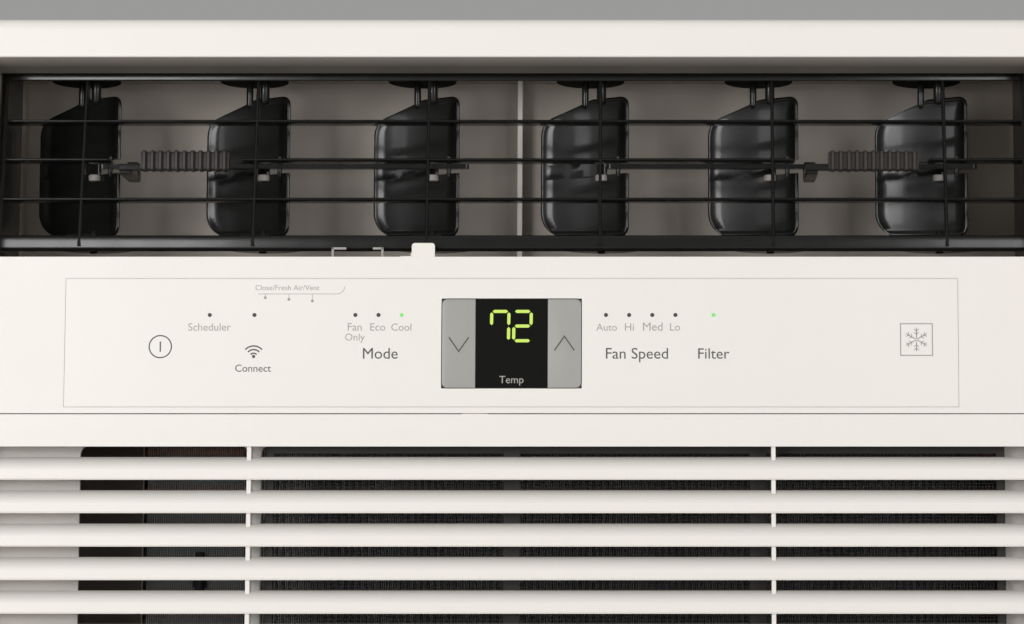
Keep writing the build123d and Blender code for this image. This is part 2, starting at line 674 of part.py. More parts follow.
def blower_wheel():
    y0, y1 = -168.0, -78.0
    centre = (0, 0, AXLE_Z)
    wheel = rod(WHEEL_R, (0, y1 - 3, AXLE_Z), (0, y1, AXLE_Z))
    ring = rod(WHEEL_R, (0, y0, AXLE_Z), (0, y0 + 4, AXLE_Z))
    wheel += ring - rod(WHEEL_R - 14, (0, y0 - 1, AXLE_Z), (0, y0 + 5, AXLE_Z))
    blades = 36
    for i in range(blades):
        blade = block(WHEEL_R - 13, WHEEL_R - 1, y0 + 2, y1 - 1, -0.8, 0.8)
        wheel += Pos(*centre) * Rot(0, 360 / blades * i, 0) * Pos(WHEEL_R - 7, 0, 0) * Rot(0, 30, 0) * (
            Pos(7 - WHEEL_R, 0, 0) * blade
        )
    wheel += rod(16, (0, y1 - 30, AXLE_Z), (0, y1, AXLE_Z))
    return wheel - rod(AXLE_R + 0.05, (0, y0 - 5, AXLE_Z), (0, y1 + 5, AXLE_Z))


def fan_shaft():
    return rod(AXLE_R, (0, -112, AXLE_Z), (0, 202, AXLE_Z))


def condenser_fan():
    """Five pitched blades inside a slinger ring that lifts the condensate."""
    y0, y1 = 164.0, 196.0
    fan = rod(38, (0, y0, AXLE_Z), (0, y1, AXLE_Z))
    for i in range(5):
        blade = Pos(92, (y0 + y1) / 2, 0) * Rot(24, 0, 0) * Box(118, 2.5, 66)
        fan += Pos(0, 0, AXLE_Z) * Rot(0, 72 * i, 0) * blade
    ring = rod(FAN_R, (0, y0 + 4, AXLE_Z), (0, y0 + 14, AXLE_Z))
    fan += ring - rod(FAN_R - 4, (0, y0, AXLE_Z), (0, y1, AXLE_Z))
    return fan - rod(AXLE_R + 0.05, (0, y0 - 5, AXLE_Z), (0, y1 + 10, AXLE_Z))


def fan_motor():
    body = rod(68, (0, -42, AXLE_Z), (0, 52, AXLE_Z))
    body = fillet(body.edges().filter_by(GeomType.CIRCLE), 8.0)
    body += rod(22, (0, -52, AXLE_Z), (0, 62, AXLE_Z))
    return body - rod(AXLE_R + RUNNING, (0, -60, AXLE_Z), (0, 70, AXLE_Z))


def motor_bracket():
    """A pedestal of folded sheet with a saddle for the motor."""
    saddle = block(-60, 60, -24, 34, 112, 150) - rod(68.2, (0, -60, AXLE_Z), (0, 60, AXLE_Z))
    legs = block(-60, -56, -24, 34, PAN_T, 130) + block(56, 60, -24, 34, PAN_T, 130)
    feet = block(-84, -56, -24, 34, PAN_T, 4) + block(56, 84, -24, 34, PAN_T, 4)
    return saddle + legs + feet


def condenser_shroud():
    """The plate and collar that guide air from the fan into the outdoor coil."""
    x = 300.0
    y0, y1 = 206.0, 241.5
    shroud = block(-x, x, y0, y1, 31, 436) - block(-x + 2, x - 2, y0 + 2, y1, 33, 434)
    shroud -= rod(FAN_R + 4, (0, y0 - 1, AXLE_Z), (0, y0 + 3, AXLE_Z)) & block(-x, x, y0 - 2, y0 + 4, 33.5, 436)
    return shroud


def compressor():
    x, y = COMPRESSOR
    can = rod(74, (x, y, 34), (x, y, 285))
    can = fillet(can.edges().filter_by(GeomType.CIRCLE), 30.0)
    foot = extrude(Plane(origin=(x, y, 30)) * Circle(92), 4)
    foot &= block(x - 92, x + 92, y - 80, y + 80, 29, 35)
    can += foot
    for turn in (90, 210, 330):
        mx = x + 80 * math.cos(math.radians(turn))
        my = y + 80 * math.sin(math.radians(turn)) * 0.9
        can -= rod(6.2, (mx, my, 28), (mx, my, 36))
    return can


def compressor_mounts():
    """Rubber grommets that carry the compressor off the pan."""
    x, y = COMPRESSOR
    mounts = []
    for turn in (90, 210, 330):
        mx = x + 80 * math.cos(math.radians(turn))
        my = y + 80 * math.sin(math.radians(turn)) * 0.9
        grommet = rod(11, (mx, my, PAN_T), (mx, my, 29.9)) + rod(6, (mx, my, 29), (mx, my, 38))
        mounts.append(grommet)
    return group(mounts)


def accumulator():
    tank = rod(24, (302, -20, 90), (302, -20, 200))
    return fillet(tank.edges().filter_by(GeomType.CIRCLE), 16.0)


def suction_line():
    points = ((298.3, -200, 214.8), (316, -200, 214.8), (302, -20, 214.8), (302, -20, 200.2))
    return bend_pipe(points, [10, 8], 5.0)


def discharge_line():
    x, y = COMPRESSOR
    points = ((x, y, 285.2), (x, y, 423), (x, 170, 423), (318, 170, 423), (318, 253, 423), (298.3, 253, 423))
    return bend_pipe(points, [30, 30, 20, 12], 4.0)


def capillary_tube():
    points = (
        (298.3, 253, 42),
        (314, 253, 42),
        (314, 150, 12),
        (118, 150, 12),
        (118, -45, 12),
        (270, -45, 60),
        (270, -120, 60),
        (312, -120, 37),
        (312, -200, 37),
        (298.3, -200, 37),
    )
    return bend_pipe(points, [10, 14, 20, 20, 12, 12, 12, 8], 1.6)


def control_box():
    box = block(-322, -240, -196, -80, 262, 400)
    return box - block(-320.5, -241.5, -194.5, -78, 263.5, 398.5)


def run_capacitor():
    can = rod(21, (-282, -150, 264), (-282, -150, 356))
    return can + rod(4, (-290, -150, 356), (-290, -150, 364)) + rod(4, (-274, -150, 356), (-274, -150, 364))


def thermistor():
    probe = rod(3, (-200, -230, 120), (-200, -230, 150))
    return probe + block(-204, -196, -229, -226.2, 128, 142)


def main():
    os.makedirs("parts", exist_ok=True)
    save(front_panel(), "front_panel")
    save(intake_grille(), "intake_grille")
    save(grille_latch(), "grille_latch")
    save(filter_frame(), "filter_frame")
    save(filter_mesh(), "filter_mesh")
    save(control_overlay(), "control_overlay")
    save(display_window(), "display_window")
    save(temperature_key(-1), "temp_down_key")
    save(temperature_key(1), "temp_up_key")
    for node, (x, z) in KEY_PLACES.items():
        save(soft_key(x, z), node)
    save(control_board(), "control_board")
    save(digit_display(), "digit_display")
    save(status_light_pipes(), "status_light_pipes")
    save(outlet_duct(), "outlet_duct")
    save(centre_post(), "centre_post")
    save(louvre_frame(), "louvre_frame")
    for bank in ("left", "right"):
        for i, x in enumerate(vane_axes(bank)):
            save(vane(x), f"vane_{bank}_{i + 1}")
        save(link_bar(bank), f"link_bar_{bank}")
        save(grip(bank), f"grip_{bank}")
    save(vent_lever(), "vent_lever")
    save(vent_door(), "vent_door")
    save(vent_cable(), "vent_cable")
    save(bulkhead(), "bulkhead")
    save(outer_cabinet(), "outer_cabinet")
    save(base_pan(), "base_pan")
    save(cabinet_screws(), "cabinet_screws")
    save(top_rail(), "top_rail")
    save(rear_guard(), "rear_guard")
    save(cord_gland(), "cord_gland")
    save(coil_fins(*EVAPORATOR, EVAPORATOR_ROWS, coil_heights(37, 8)), "evaporator_fins")
    save(coil_tubes(-240, 298, EVAPORATOR_ROWS, coil_heights(37, 8)), "evaporator_tubes")
    save(coil_fins(*CONDENSER, CONDENSER_ROWS, coil_heights(42, 16)), "condenser_fins")
    save(coil_tubes(-298, 298, CONDENSER_ROWS, coil_heights(42, 16)), "condenser_tubes")
    save(blower_housing(), "blower_housing")
    save(blower_wheel(), "blower_wheel")
    save(fan_shaft(), "fan_shaft")
    save(condenser_fan(), "condenser_fan")
    save(fan_motor(), "fan_motor")
    save(motor_bracket(), "motor_bracket")
    save(condenser_shroud(), "condenser_shroud")
    save(compressor(), "compressor")
    save(compressor_mounts(), "compressor_mounts")
    save(accumulator(), "accumulator")
    save(suction_line(), "suction_line")
    save(discharge_line(), "discharge_line")
    save(capillary_tube(), "capillary_tube")
    save(control_box(), "control_box")
    save(run_capacitor(), "run_capacitor")
    save(thermistor(), "thermistor")


main()
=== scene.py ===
"""A window air conditioner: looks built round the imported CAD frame. Metres, +Z up, the front faces -Y."""

import json
import math

import bmesh
import bpy
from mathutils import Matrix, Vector


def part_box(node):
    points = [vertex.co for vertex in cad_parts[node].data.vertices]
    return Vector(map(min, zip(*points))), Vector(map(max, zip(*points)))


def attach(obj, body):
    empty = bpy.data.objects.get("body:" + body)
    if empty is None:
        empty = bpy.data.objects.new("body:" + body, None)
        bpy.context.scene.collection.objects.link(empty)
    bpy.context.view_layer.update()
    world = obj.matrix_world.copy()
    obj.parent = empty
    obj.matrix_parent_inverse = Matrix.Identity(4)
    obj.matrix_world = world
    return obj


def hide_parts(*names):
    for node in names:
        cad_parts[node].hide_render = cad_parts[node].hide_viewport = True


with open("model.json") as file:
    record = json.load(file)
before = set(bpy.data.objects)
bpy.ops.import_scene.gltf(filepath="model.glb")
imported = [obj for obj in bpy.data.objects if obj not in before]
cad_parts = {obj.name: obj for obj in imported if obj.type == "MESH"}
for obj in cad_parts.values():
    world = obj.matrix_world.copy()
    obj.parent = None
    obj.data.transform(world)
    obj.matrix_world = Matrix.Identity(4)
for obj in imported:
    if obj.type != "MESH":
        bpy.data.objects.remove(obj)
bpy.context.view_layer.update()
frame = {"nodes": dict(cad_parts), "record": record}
NODES = frame["nodes"]

MM = 0.001
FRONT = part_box("front_panel")[0].y
FACE = FRONT - 0.00006  # where print lies, just proud of the film


# ---------------------------------------------------------------- materials


def linear(red, green, blue):
    """A colour given as 0 to 255 screen values, as the shader wants it."""

    def channel(value):
        value /= 255
        return value / 12.92 if value <= 0.04045 else ((value + 0.055) / 1.055) ** 2.4

    return (channel(red), channel(green), channel(blue), 1.0)


def shade(colour, factor):
    return tuple(min(1.0, c * factor) for c in colour[:3]) + (1.0,)


class Material:
    """A Principled material with helpers for the detail that varies over the surface."""

    def __init__(self, name):
        self.material = bpy.data.materials.new(name)
        self.material.use_nodes = True
        self.nodes = self.material.node_tree.nodes
        self.links = self.material.node_tree.links
        self.shader = self.nodes["Principled BSDF"]
        self.place = self.nodes.new("ShaderNodeTexCoord").outputs["Object"]

    def set(self, **values):
        for name, value in values.items():
            self.shader.inputs[name.replace("_", " ")].default_value = value

    def noise(self, scale, detail=4.0, stretch=(1, 1, 1)):
        mapping = self.nodes.new("ShaderNodeMapping")
        mapping.inputs["Scale"].default_value = stretch
        self.links.new(self.place, mapping.inputs["Vector"])
        noise = self.nodes.new("ShaderNodeTexNoise")
        noise.inputs["Scale"].default_value = scale
        noise.inputs["Detail"].default_value = detail
        self.links.new(mapping.outputs["Vector"], noise.inputs["Vector"])
        return noise.outputs["Fac"]

    def ramp(self, value, low, high, to_low, to_high):
        node = self.nodes.new("ShaderNodeMapRange")
        node.inputs["From Min"].default_value = low
        node.inputs["From Max"].default_value = high
        node.inputs["To Min"].default_value = to_low
        node.inputs["To Max"].default_value = to_high
        self.links.new(value, node.inputs["Value"])
        return node.outputs["Result"]

    def mix(self, factor, colour_a, colour_b):
        node = self.nodes.new("ShaderNodeMix")
        node.data_type = "RGBA"
        self.links.new(factor, node.inputs[0])
        for socket, colour in ((node.inputs[6], colour_a), (node.inputs[7], colour_b)):
            if isinstance(colour, tuple):
                socket.default_value = colour
            else:
                self.links.new(colour, socket)
        return node.outputs[2]

    def colour(self, socket):
        self.links.new(socket, self.shader.inputs["Base Color"])

    def roughness(self, socket):
        self.links.new(socket, self.shader.inputs["Roughness"])

    def bump(self, height, strength, distance):
        node = self.nodes.new("ShaderNodeBump")
        node.inputs["Strength"].default_value = strength
        node.inputs["Distance"].default_value = distance
        self.links.new(height, node.inputs["Height"])
        self.links.new(node.outputs["Normal"], self.shader.inputs["Normal"])


def moulded(name, colour, rough, grain=900.0, depth=0.00004, patchy=0.04, coat=0.0, specular=0.5):
    """Moulded plastic or paint: faint mottling, uneven gloss and a fine texture."""
    m = Material(name)
    wide = m.noise(9.0)
    m.colour(m.mix(m.ramp(wide, 0.3, 0.7, 0, 1), shade(colour, 1 - patchy), shade(colour, 1 + patchy / 2)))
    m.roughness(m.ramp(m.noise(60.0), 0.25, 0.75, rough - 0.04, rough + 0.05))
    m.bump(m.noise(grain, 2.0), 0.35, depth)
    m.set(Coat_Weight=coat, Coat_Roughness=0.06, Specular_IOR_Level=specular)
    return m


def metal(name, colour, rough, stretch=(1, 1, 1), grain=300.0, depth=0.00003, patchy=0.12):
    """Bare or plated metal, with streaks along one direction and uneven brightness."""
    m = Material(name)
    streaks = m.noise(grain, 5.0, stretch)
    patches = m.ramp(m.noise(14.0), 0.3, 0.7, 0, 1)
    m.colour(m.mix(patches, shade(colour, 1 - patchy), shade(colour, 1 + patchy)))
    m.roughness(m.ramp(streaks, 0.3, 0.7, rough - 0.07, rough + 0.1))
    m.bump(streaks, 0.3, depth)
    m.set(Metallic=1.0)
    return m


def spangled(name, colour):
    """Galvanised sheet, with its large flat crystals."""
    m = Material(name)
    cells = m.nodes.new("ShaderNodeTexVoronoi")
    cells.inputs["Scale"].default_value = 90.0
    m.links.new(m.place, cells.inputs["Vector"])
    grey = m.nodes.new("ShaderNodeRGBToBW")
    m.links.new(cells.outputs["Color"], grey.inputs["Color"])
    m.colour(m.mix(m.ramp(grey.outputs["Val"], 0.2, 0.8, 0, 1), shade(colour, 0.82), shade(colour, 1.12)))
    m.roughness(m.ramp(grey.outputs["Val"], 0.2, 0.8, 0.32, 0.5))
    m.set(Metallic=0.9)
    return m


def lit(name, colour, strength):
    m = Material(name)
    m.set(Base_Color=shade(colour, 0.6), Emission_Color=colour, Emission_Strength=strength, Roughness=0.4)
    return m


WHITE = linear(239, 234, 228)
BLACK = linear(24, 24, 23)

MATERIALS = {
    "white_plastic": moulded("white_plastic", WHITE, 0.42, depth=0.00002, patchy=0.012),
    "overlay_film": moulded(
        "overlay_film", linear(239, 235, 229), 0.36, grain=2500.0, depth=0.00001, patchy=0.008
    ),
    "black_plastic": moulded(
        "black_plastic", BLACK, 0.22, grain=500.0, depth=0.00002, patchy=0.12, coat=0.1, specular=0.3
    ),
    "grip_plastic": moulded("grip_plastic", linear(54, 50, 47), 0.45, patchy=0.08, specular=0.4),
    "key_grey": moulded("key_grey", linear(163, 162, 157), 0.4, grain=1500.0, depth=0.00001, patchy=0.02),
    "key_clear": moulded("key_clear", linear(214, 212, 206), 0.4),
    "window_black": moulded(
        "window_black", linear(18, 18, 16), 0.15, depth=0.000005, patchy=0.1, specular=0.2
    ),
    "digit_green": moulded("digit_green", linear(60, 66, 40), 0.5),
    "light_clear": moulded("light_clear", linear(205, 210, 205), 0.2),
    "board_green": moulded("board_green", linear(40, 92, 52), 0.35, patchy=0.12),
    "duct_grey": moulded("duct_grey", linear(184, 175, 165), 0.65, grain=350.0, depth=0.0001, patchy=0.06),
    "filter_mesh": moulded("filter_mesh", linear(40, 38, 36), 0.6),
    "filter_grey": moulded("filter_grey", linear(46, 42, 39), 0.5),
    "cabinet_paint": moulded(
        "cabinet_paint", linear(226, 223, 216), 0.5, grain=420.0, depth=0.00012, patchy=0.02
    ),
    "galvanised": spangled("galvanised", linear(176, 178, 180)),
    "coil_fin": metal("coil_fin", linear(165, 165, 162), 0.42, (1, 8, 0.4)),
    "copper": metal("copper", linear(196, 116, 82), 0.3, (6, 1, 1), patchy=0.2),
    "compressor_black": moulded(
        "compressor_black", linear(34, 34, 36), 0.32, grain=160.0, depth=0.0001, patchy=0.15
    ),
    "motor_steel": moulded("motor_steel", linear(120, 122, 124), 0.38, patchy=0.08),
    "rubber_black": moulded("rubber_black", linear(36, 35, 34), 0.75, grain=600.0, depth=0.00006),
    "zinc_screw": metal("zinc_screw", linear(196, 196, 188), 0.28, grain=900.0),
    "fan_plastic": moulded("fan_plastic", linear(46, 46, 47), 0.5, patchy=0.1),
    "capacitor_can": metal("capacitor_can", linear(198, 198, 200), 0.3, (1, 1, 0.1)),
}
PRINT_DARK = moulded("print_dark", linear(80, 78, 77), 0.5, patchy=0.03)
PRINT_PALE = moulded("print_pale", linear(168, 165, 161), 0.5, patchy=0.03)
DISC_BLACK = moulded("disc_black", linear(20, 20, 19), 0.85, specular=0.05)
# Dark foam tone: painted shade for the shadowed bay beside the coil
FOAM_PAINTED_SHADE = moulded("foam_painted_shade", linear(92, 84, 77), 0.8)
# Pale grey: the vent stops' own colour, and on the vane clips a painted highlight
STOP_GREY_AND_CLIP_HIGHLIGHT = moulded("stop_grey_and_clip_highlight", linear(166, 160, 155), 0.45)
DIGIT_GLOW = lit("digit_glow", linear(172, 199, 84), 0.9)
LAMP_GLOW = lit("lamp_glow", linear(120, 205, 110), 0.7)
LAMP_OFF = moulded("lamp_off", linear(62, 58, 55), 0.4)


def lip_material():
    """Grey painted shade for the lip: lighter at the rim, darker towards the louvre frame, where less light
    reaches.
    """
    m = Material("lip_painted_shade")
    depth = m.nodes.new("ShaderNodeSeparateXYZ")
    m.links.new(m.place, depth.inputs["Vector"])
    share = m.ramp(depth.outputs["Y"], FRONT + 1 * MM, FRONT + 13 * MM, 0, 1)
    # painted shade: lit grey at the rim, running to shaded grey deep in the outlet
    m.colour(m.mix(share, linear(160, 153, 145), linear(96, 91, 85)))
    m.set(Roughness=0.3, Specular_IOR_Level=0.4)
    return m


LIP_PAINTED_SHADE = lip_material()


def grille_material():
    """White with painted shade: it greys where a bar's rounded top turns up into the slot, under the bar
    above.
    """
    m = moulded("grille_white_painted_shade", WHITE, 0.42, depth=0.00002)
    turn = m.nodes.new("ShaderNodeSeparateXYZ")
    m.links.new(m.place.node.outputs["Normal"], turn.inputs["Vector"])
    # painted shade: the further a face turns up, the greyer it is painted
    m.colour(m.mix(m.ramp(turn.outputs["Z"], 0, 1, 0, 1), WHITE, shade(WHITE, 0.58)))
    return m


GRILLE_PAINTED_SHADE = grille_material()


def paint_cad_nodes():
    """Every CAD node takes the material of its slot in the record, except the intake grille, which takes
    the white with painted shade.
    """
    for row in frame["record"]["subparts"]:
        data = NODES[row["node"]].data
        data.materials.clear()
        own = GRILLE_PAINTED_SHADE if row["node"] == "intake_grille" else MATERIALS[row["material_slot"]]
        data.materials.append(own.material)


# ---------------------------------------------------------------- mesh helpers


class Shape:
    """Loops of points joined into closed surfaces, in millimetres."""

    def __init__(self):
        self.points = []
        self.faces = []

    def loft(self, rings, caps=True, closed=True):
        """Joins rings of equal length, with each end filled."""
        start = len(self.points)
        size = len(rings[0])
        for ring in rings:
            self.points.extend(ring)
        edges = size if closed else size - 1
        for i in range(len(rings) - 1):
            for j in range(edges):
                a = start + i * size + j
                b = start + i * size + (j + 1) % size
                self.faces.append((a, b, b + size, a + size))
        if caps:
            self.faces.append(tuple(start + j for j in reversed(range(size))))
            last = start + (len(rings) - 1) * size
            self.faces.append(tuple(last + j for j in range(size)))
        return self

    def bar_x(self, profile, x0, x1, bevel=0.0):
        """A (y, z) profile carried along X, its ends drawn in by bevel."""
        my = sum(p[0] for p in profile) / len(profile)
        mz = sum(p[1] for p in profile) / len(profile)

        def ring(x, scale):
            return [(x, my + (y - my) * scale, mz + (z - mz) * scale) for y, z in profile]

        if bevel:
            rings = [ring(x0, 0.55), ring(x0 + bevel * 0.3, 0.85), ring(x0 + bevel, 1.0)]
            rings += [ring(x1 - bevel, 1.0), ring(x1 - bevel * 0.3, 0.85), ring(x1, 0.55)]
        else:
            rings = [ring(x0, 1.0), ring(x1, 1.0)]
        return self.loft(rings)

    def turned(self, profile, x, y, steps=28):
        """(radius, z) points turned about a vertical axis."""
        turns = [2 * math.pi * i / steps for i in range(steps)]
        way = [(math.cos(t), math.sin(t)) for t in turns]
        return self.loft([[(x + radius * c, y + radius * s, z) for c, s in way] for radius, z in profile])

    def box(self, x0, x1, y0, y1, z0, z1, round_off=0.4):
        """A box whose long edges are rounded."""
        return self.bar_x(rounded(y0, y1, z0, z1, round_off), x0, x1, min(round_off, (x1 - x0) / 3))

    def plain_box(self, x0, x1, y0, y1, z0, z1):
        return self.bar_x([(y0, z0), (y1, z0), (y1, z1), (y0, z1)], x0, x1)


def rounded(a0, a1, b0, b1, radius, steps=4):
    """The points of a rectangle with round corners."""
    radius = min(radius, (a1 - a0) / 2 - 1e-4, (b1 - b0) / 2 - 1e-4)
    points = []
    left, right = a0 + radius, a1 - radius
    low, high = b0 + radius, b1 - radius
    for a, b, turn in ((right, high, 0), (left, high, 90), (left, low, 180), (right, low, 270)):
        for i in range(steps + 1):
            angle = math.radians(turn + 90 * i / steps)
            points.append((a + radius * math.cos(angle), b + radius * math.sin(angle)))
    return points


def piece(name, shape, material, body, replaces=(), smooth_angle=32.0):
    """Makes a closed mesh from a shape and hangs it on its body."""
    mesh = bpy.data.meshes.new(name)
    mesh.from_pydata([Vector(p) * MM for p in shape.points], [], shape.faces)
    work = bmesh.new()
    work.from_mesh(mesh)
    bmesh.ops.recalc_face_normals(work, faces=work.faces)
    limit = math.radians(smooth_angle)
    for face in work.faces:
        face.smooth = True
    for edge in work.edges:
        edge.smooth = len(edge.link_faces) == 2 and edge.calc_face_angle(0.0) < limit
    work.to_mesh(mesh)
    work.free()
    mesh.materials.append(material.material)
    made = bpy.data.objects.new(name, mesh)
    bpy.context.scene.collection.objects.link(made)
    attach(made, body)
    if replaces:
        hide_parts(*replaces)
    return made


# ---------------------------------------------------------------- air outlet

LEAN = math.radians(10.0)
BOTTOM_RAIL_Y = -311.0
TOP_RAIL_Y = -293.5
BOTTOM_RAIL_LOW, BOTTOM_RAIL_TOP = 331.4, 340.3
BLADES = (413.7, 389.0, 363.9)
FRAME_X = 315.0
STRAP_LOW, FRAME_TOP = 446.8, 449.0
BOSS_LOW, BOSS_TOP = 339.0, 342.0
TILT_Y, TILT_Z = -270.0, 390.0
VANE_PITCH = 106.0
VANE_Y = -261.0
VANE_ANGLE = math.radians(62.0)
GRIPS = {"left": (-228.5, -174.5), "right": (193.0, 248.0)}
GRIP_TRAVEL = 20.0
GRIP_LOW, GRIP_TOP = 380.9, 393.3
GRIP_FRONT, GRIP_BACK = -310.0, -303.0
CRANK_REACH = 12.0
LINK_TOP = 391.2
AXES = [VANE_PITCH * (i - 2.5) for i in range(6)]


def louvre_front(z):
    return BOTTOM_RAIL_Y + (z - BOTTOM_RAIL_TOP) * math.tan(LEAN)


def blade_profile(z):
    """A slim section, thickest a third of the way back, with round edges."""
    front = louvre_front(z)
    half = ((0.0, 0.35), (0.5, 0.75), (2.0, 1.05), (6.5, 1.2), (12.0, 0.9), (16.5, 0.45), (17.0, 0.15))
    top = [(front + d, z + h) for d, h in half]
    foot = [(front + d, z - h) for d, h in reversed(half)]
    return top + foot


def louvre_frame():
    shape = Shape()
    spans = [[(-FRAME_X, FRAME_X)] for _ in BLADES]
    left, right = GRIPS["left"], GRIPS["right"]
    spans[1] = [
        (-FRAME_X, left[0] - GRIP_TRAVEL),
        (left[1] + 7, right[0] - GRIP_TRAVEL),
        (right[1] + 7, FRAME_X),
    ]
    for z, parts in zip(BLADES, spans):
        for x0, x1 in parts:
            shape.bar_x(blade_profile(z), x0, x1, 1.2)
    across = (-FRAME_X, FRAME_X)
    shape.box(*across, TOP_RAIL_Y, VANE_Y + 8, STRAP_LOW, FRAME_TOP, 1.0)
    shape.box(*across, TOP_RAIL_Y - 0.5, TOP_RAIL_Y + 1.5, 439.5, STRAP_LOW + 0.5, 0.9)
    shape.box(*across, BOTTOM_RAIL_Y, BOTTOM_RAIL_Y + 6, BOTTOM_RAIL_LOW, BOTTOM_RAIL_TOP + 0.8, 2.2)
    rib = ((-1.0, 0.6), (-0.45, 0.0), (0.45, 0.0), (1.0, 0.6), (0.8, 8.0), (-0.8, 8.0))
    ends = (334.0, STRAP_LOW + 0.5)
    for x in AXES:
        shape.loft([[(x + side, louvre_front(z) + depth, z) for side, depth in rib] for z in ends])
        disc = [(26.2, BOSS_LOW), (27.0, BOSS_LOW + 0.6), (27.0, BOSS_TOP - 0.6), (26.2, BOSS_TOP)]
        shape.turned(disc, x, VANE_Y, 48)
        shape.box(x - 9, x + 9, BOTTOM_RAIL_Y + 3, VANE_Y, BOSS_LOW + 0.2, BOSS_TOP - 0.2, 0.6)
    outline = [(BOTTOM_RAIL_Y, BOTTOM_RAIL_LOW), (VANE_Y + 5, BOTTOM_RAIL_LOW)]
    outline += [(VANE_Y + 8, FRAME_TOP), (TOP_RAIL_Y, FRAME_TOP)]
    circle = [(TILT_Y + py, TILT_Z + pz) for py, pz in arc(0, 0, 4.0, 0, 345, 23)]
    for side in (-1, 1):
        x0, x1 = sorted((side * (FRAME_X - 2.2), side * FRAME_X))
        shape.bar_x(outline, x0, x1)
        x0, x1 = sorted((side * (FRAME_X - 1), side * 321.0))
        shape.bar_x(circle, x0, x1)
    black = MATERIALS["black_plastic"]
    piece("louvre_frame_moulding", shape, black, "louvre", ["louvre_frame"])


VANE_LOW, VANE_TOP = 349.0, 434.4
VANE_FRONT, VANE_REAR = 19.5, -43.6
SLIT_LOW, SLIT_TOP, SLIT_END = 385.4, 394.2, 3.2


def vane_front_edge(z):
    """The front edge with its round corners and the slit for the link bar."""
    radius = 6.0
    if SLIT_LOW < z < SLIT_TOP:
        return SLIT_END
    over = max(VANE_LOW + radius - z, z - (VANE_TOP - radius), 0.0)
    return VANE_FRONT - radius + math.sqrt(max(radius**2 - over**2, 0.0))


def vane_rear_edge(z):
    """The rear edge: a round foot, and a shoulder that slopes up to the post."""
    radius = 15.0
    if z < VANE_LOW + radius:
        over = VANE_LOW + radius - z
        return VANE_REAR + radius - math.sqrt(max(radius**2 - over**2, 0.0))
    shoulder = ((413.4, VANE_REAR), (416.5, -43.2), (419.4, -42.0), (421.9, -40.1), (423.8, -37.6))
    shoulder += ((424.8, -35.4), (432.0, -14.0), (433.4, -11.0), (VANE_TOP, -7.0))
    if z <= shoulder[0][0]:
        return VANE_REAR
    for (z0, u0), (z1, u1) in zip(shoulder, shoulder[1:]):
        if z <= z1:
            return u0 + (u1 - u0) * (z - z0) / (z1 - z0)
    return shoulder[-1][1]


def vane_half_thickness(inward):
    """How thick the plate is, from its round rim to the thinner middle."""
    table = ((0.0, 0.4), (0.35, 1.0), (0.9, 1.35), (2.1, 1.35), (2.9, 0.8), (100.0, 0.8))
    for (d0, h0), (d1, h1) in zip(table, table[1:]):
        if inward <= d1:
            return h0 + (h1 - h0) * (inward - d0) / (d1 - d0)
    return table[-1][1]


def rim(rows):
    """The points round the edge of a grid of rows."""
    up = [row[-1] for row in rows[1:]]
    down = [row[0] for row in rows[-2:0:-1]]
    return rows[0] + up + rows[-1][-2::-1] + down


